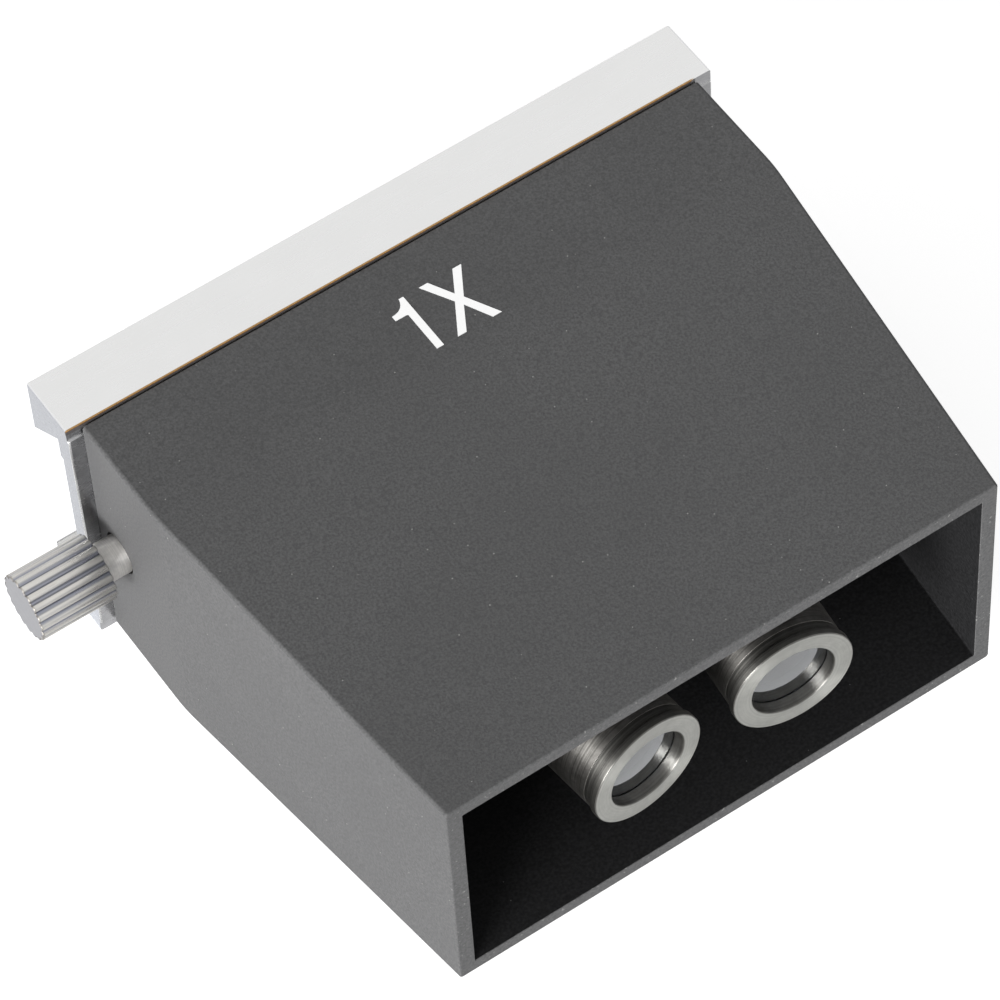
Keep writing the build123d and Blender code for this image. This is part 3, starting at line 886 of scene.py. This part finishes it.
def make_fasteners(metal):
    """Screws and dowels seen in the groove floor, with sockets and rounded ends."""
    for node, spots, shank, head, across in (
        ("hood_screws", HOOD_SCREWS, 0.75, 1.5, 1.3),
        ("bracket_screws", EAR_SCREWS, 0.75, 1.5, 1.3),
        ("block_screws", BLOCK_SCREWS, 0.95, 1.85, 1.6),
    ):
        length = (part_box(node)[1].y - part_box(node)[0].y) / MM
        points, faces = joined([socket_screw(x, z, shank, head, length, across) for x, z in spots])
        add_piece(node + "_sockets", points, faces, [metal], "unit", (node,))
    low, high = (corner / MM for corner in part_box("block_dowels"))
    outline = rounded_outline([
        (low.y, 0, 0), (low.y, DOWEL_RADIUS, SMALL_ROUND), (high.y, DOWEL_RADIUS, SMALL_ROUND), (high.y, 0, 0),
    ], 3)
    points, faces = joined([lathe(outline, Z * z, Y, FASTENER_SEGMENTS) for z in DOWEL_SPOTS])
    add_piece("block_dowels_rounded", points, faces, [metal], "unit", ("block_dowels",))


def make_bush(metal):
    """Rounded bush that carries the clamp screw's thread."""
    radius = (BUSH_HIGH.z - BUSH_LOW.z) / 2
    outline = rounded_outline([
        (BUSH_LOW.x, BUSH_BORE_RADIUS, SMALL_ROUND),
        (BUSH_LOW.x, radius, SMALL_ROUND),
        (BUSH_HIGH.x, radius, SMALL_ROUND),
        (BUSH_HIGH.x, BUSH_BORE_RADIUS, SMALL_ROUND),
    ], 3)
    points, faces = lathe(outline, Y * NECK_Y, X, BUSH_SEGMENTS)
    add_piece("clamp_bush_turned", points, faces, [metal], "unit", ("clamp_bush",))


# ---- power mark ----
def make_mark(paint):
    """The figure 1X, as two thin white inlays on the marked face."""
    top, bottom = MARK_TOP, MARK_BOTTOM
    one = [
        (-2.12, top), (-2.12, bottom), (-2.8, bottom), (-2.8, -8.1), (-2.95, -8.04), (-3.98, -8.04),
        (-3.98, -7.5), (-3.6, -7.46), (-3.27, -7.36), (-2.97, -7.16), (-2.78, -6.92), (-2.64, -6.64), (-2.56, top),
    ]
    cross = [
        (-0.62, top), (0.24, top), (1.42, -8.52), (2.66, top), (3.51, top), (1.85, -9.19),
        (3.49, bottom), (2.62, bottom), (1.4, -9.86), (0.06, bottom), (-0.78, bottom), (0.99, -9.18),
    ]
    for name, outline in (("mark_one", one), ("mark_cross", cross)):
        points, faces = closed_loops([
            [(x, y, HOOD_HIGH.z + lift) for x, y in outline] for lift in (MARK_LIFT, -MARK_LIFT)
        ])
        add_piece(name, points, faces, [paint], "unit", flat_weight=False)


# ---- stage ----
def make_room():
    """Soft room: pale for what is seen or mirrored, weaker where it lights matt surfaces."""
    world = bpy.data.worlds.new("room")
    bpy.context.scene.world = world
    room = Nodes(world, clear=True)
    rays = room.node("ShaderNodeLightPath").outputs
    seen = room.math("MAXIMUM", rays["Is Camera Ray"], rays["Is Glossy Ray"])
    seen = room.math("MAXIMUM", seen, rays["Is Transmission Ray"])
    height = room.split(room.node("ShaderNodeTexCoord").outputs["Generated"])["Z"]
    ramp = room.node("ShaderNodeValToRGB")
    for element, (position, color) in zip(ramp.color_ramp.elements, ROOM_STOPS):
        element.position = position
        element.color = (*color, 1)
    room.link(height, ramp.inputs["Fac"])
    bright = room.node("ShaderNodeBackground")
    room.link(ramp.outputs["Color"], bright.inputs["Color"])
    dim = room.node("ShaderNodeBackground")
    dim.inputs["Color"].default_value = (1, 1, 1, 1)
    dim.inputs["Strength"].default_value = AMBIENT
    mix = room.node("ShaderNodeMixShader")
    for source, socket in zip((seen, dim.outputs["Background"], bright.outputs["Background"]), mix.inputs):
        room.link(source, socket)
    room.link(mix.outputs["Shader"], room.node("ShaderNodeOutputWorld").inputs["Surface"])


def make_key():
    """One distant soft lamp, low on the side of the clamp screw."""
    data = bpy.data.lights.new("key", "SUN")
    data.energy = KEY_STRENGTH
    data.angle = KEY_ANGLE
    lamp = new_object("key", data)
    lamp.location = KEY_DIRECTION
    lamp.rotation_euler = (-KEY_DIRECTION).to_track_quat("-Z", "Y").to_euler()


def make_floor():
    """Plain pale floor. It adds some white for seen and mirrored rays, and keeps the shadow."""
    material = bpy.data.materials.new("floor")
    pale = Nodes(material, clear=True)
    diffuse = pale.node("ShaderNodeBsdfDiffuse")
    diffuse.inputs["Color"].default_value = (*FLOOR_COLOR, 1)
    rays = pale.node("ShaderNodeLightPath").outputs
    seen = pale.math("MAXIMUM", rays["Is Camera Ray"], rays["Is Transmission Ray"])
    direct = pale.math("MULTIPLY", seen, FLOOR_SEEN)
    glow = pale.node("ShaderNodeEmission")
    pale.link(pale.math("MULTIPLY_ADD", rays["Is Glossy Ray"], FLOOR_MIRRORED, direct), glow.inputs["Strength"])
    both = pale.node("ShaderNodeAddShader")
    pale.link(diffuse.outputs["BSDF"], both.inputs[0])
    pale.link(glow.outputs["Emission"], both.inputs[1])
    pale.link(both.outputs["Shader"], pale.node("ShaderNodeOutputMaterial").inputs["Surface"])
    mesh = bpy.data.meshes.new("floor")
    half = FLOOR_SIZE / 2
    mesh.from_pydata([(-half, -half, 0), (half, -half, 0), (half, half, 0), (-half, half, 0)], [], [(0, 1, 2, 3)])
    mesh.materials.append(material)
    floor = new_object("floor", mesh)
    floor.location.z = cad_low.z


# ---- the scene ----
bpy.context.scene.view_settings.view_transform = "Standard"
make_camera()
make_room()
make_key()
make_floor()

black = inner_black()
block_black = black_anodised()
dark_steel = plain_metal("dark_steel", (0.12, 0.12, 0.125), (0.2, 0.2, 0.205), 0.4, 2600.0)
brass = plain_metal("brass", (0.5, 0.36, 0.16), (0.66, 0.5, 0.24), 0.34, 2200.0)
plate_metal = satin_plate()

make_hood(hood_paint(), black)
softened("slide_plate", 0.2, plate_metal, "unit", in_rabbet)
softened("objective_block", 0.15, block_black, "unit")
softened("clamp_bracket", 0.12, brass, "unit")
softened("clamp_wedge", 0.12, brass, "wedge")
softened("lock_shoe", 0.1, brass, "shoe")
for side, word in ((-1, "left"), (1, "right")):
    make_optics(side, word, black)
neck_metal = turned_metal("neck_metal", Y * NECK_Y, X, "X", 0.46, ((0.6, 0.585, 0.56), (0.8, 0.78, 0.75)))
make_clamp_screw(knob_metal(), neck_metal)
make_mark(mark_paint())

make_fasteners(dark_steel)
make_bush(brass)

# These pieces are seen as the CAD made them, with a finish on their own meshes.
for material, names in ((dark_steel, ("barrel_set_screws",)), (block_black, ("left_stop_ring", "right_stop_ring"))):
    for name in names:
        for place in nodes[name].material_slots:
            place.material = material
